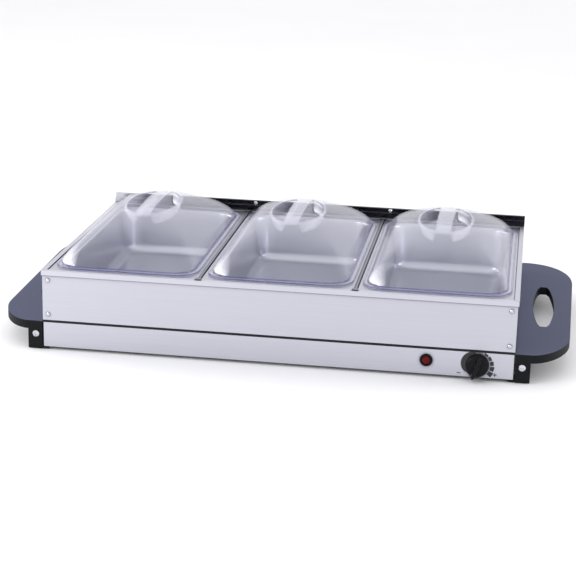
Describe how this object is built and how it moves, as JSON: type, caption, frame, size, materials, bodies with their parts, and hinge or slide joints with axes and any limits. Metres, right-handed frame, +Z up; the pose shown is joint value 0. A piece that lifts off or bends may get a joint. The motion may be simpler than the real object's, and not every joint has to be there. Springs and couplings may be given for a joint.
{
  "type": "electric buffet server",
  "caption": "Electric warming tray with lift-out food pans under clear domed lids, a steel pan frame, carrying handles, a heat knob and an indicator lamp.",
  "frame": {"origin": "on the surface the server stands on, at the middle of its plan box from the knob's nose to the cord gland", "axes": "+X to the user's right along the length, +Y from the control panel to the back, +Z up"},
  "size_m": [0.694, 0.42, 0.149],
  "materials": {
    "brushed_steel": "fine straight brushing",
    "pan_steel": "satin drawn sheet",
    "dark_steel": "dark polished",
    "zinc_steel": "matt zinc",
    "bright_steel": "polished",
    "slate_plastic": "fine moulded texture",
    "black_plastic": "semi-gloss",
    "black_rubber": "matt",
    "clear_plastic": "clear, slightly frosted",
    "red_lens": "translucent red",
    "white_ceramic": "satin",
    "element_sheath": "dull, heat-stained",
    "mica_sheet": "matt",
    "brass": "machined",
    "lead_jacket": "silicone"
  },
  "bodies": {
    "base": {"base_housing": "brushed_steel", "hot_plate": "brushed_steel", "bottom_cover": "zinc_steel", "element_clamp_left": "zinc_steel", "element_clamp_right": "zinc_steel", "handle_screw_front_left": "bright_steel", "handle_screw_front_right": "bright_steel", "handle_screw_rear_left": "bright_steel", "handle_screw_rear_right": "bright_steel", "left_handle": "slate_plastic", "right_handle": "slate_plastic", "lamp_bezel": "black_plastic", "cord_gland": "black_plastic", "plate_gasket": "black_rubber", "foot_pad_front_left": "black_rubber", "foot_pad_front_right": "black_rubber", "foot_pad_rear_left": "black_rubber", "foot_pad_rear_right": "black_rubber", "lamp_lens": "red_lens", "neon_bulb": "red_lens", "thermostat_body": "white_ceramic", "terminal_block": "white_ceramic", "thermal_fuse": "white_ceramic", "heating_element": "element_sheath", "insulation_sheet": "mica_sheet", "thermostat_nut": "brass", "live_lead": "lead_jacket", "neutral_lead": "lead_jacket", "switched_lead": "lead_jacket", "lamp_lead": "lead_jacket"},
    "knob": {"control_knob": "black_plastic", "thermostat_shaft": "bright_steel"},
    "frame": {"frame_front_panel": "brushed_steel", "frame_rear_panel": "brushed_steel", "frame_left_panel": "brushed_steel", "frame_right_panel": "brushed_steel", "front_rail": "brushed_steel", "rear_rail": "brushed_steel", "left_rail": "brushed_steel", "right_rail": "brushed_steel", "divider_left": "brushed_steel", "divider_right": "brushed_steel", "lid_rail": "dark_steel", "rail_screw_left": "bright_steel", "rail_screw_right": "bright_steel", "rivet_front_left_lower": "bright_steel", "rivet_front_left_upper": "bright_steel", "rivet_front_right_lower": "bright_steel", "rivet_front_right_upper": "bright_steel", "rivet_rear_left_lower": "bright_steel", "rivet_rear_left_upper": "bright_steel", "rivet_rear_right_lower": "bright_steel", "rivet_rear_right_upper": "bright_steel"},
    "pan_left_body": {"pan_left": "pan_steel"},
    "lid_left_body": {"lid_left": "clear_plastic"},
    "pan_centre_body": {"pan_centre": "pan_steel"},
    "lid_centre_body": {"lid_centre": "clear_plastic"},
    "pan_right_body": {"pan_right": "pan_steel"},
    "lid_right_body": {"lid_right": "clear_plastic"}
  },
  "joints": [
    {"name": "knob_turn", "type": "hinge", "parent": "base", "child": "knob", "pos_m": [0.236, -0.195, 0.0187], "axis": [0, 1, 0], "range_deg": [0, 290]},
    {"name": "frame_lift", "type": "slide", "parent": "base", "child": "frame", "axis": [0, 0, 1], "range_m": [0, 0.1]},
    {"name": "pan_left_lift", "type": "slide", "parent": "frame", "child": "pan_left_body", "axis": [0, 0, 1], "range_m": [0, 0.09]},
    {"name": "pan_centre_lift", "type": "slide", "parent": "frame", "child": "pan_centre_body", "axis": [0, 0, 1], "range_m": [0, 0.09]},
    {"name": "pan_right_lift", "type": "slide", "parent": "frame", "child": "pan_right_body", "axis": [0, 0, 1], "range_m": [0, 0.09]},
    {"name": "lid_left_lift", "type": "slide", "parent": "pan_left_body", "child": "lid_left_body", "axis": [0, 0, 1], "range_m": [0, 0.08]},
    {"name": "lid_centre_lift", "type": "slide", "parent": "pan_centre_body", "child": "lid_centre_body", "axis": [0, 0, 1], "range_m": [0, 0.08]},
    {"name": "lid_right_lift", "type": "slide", "parent": "pan_right_body", "child": "lid_right_body", "axis": [0, 0, 1], "range_m": [0, 0.08]}
  ]
}
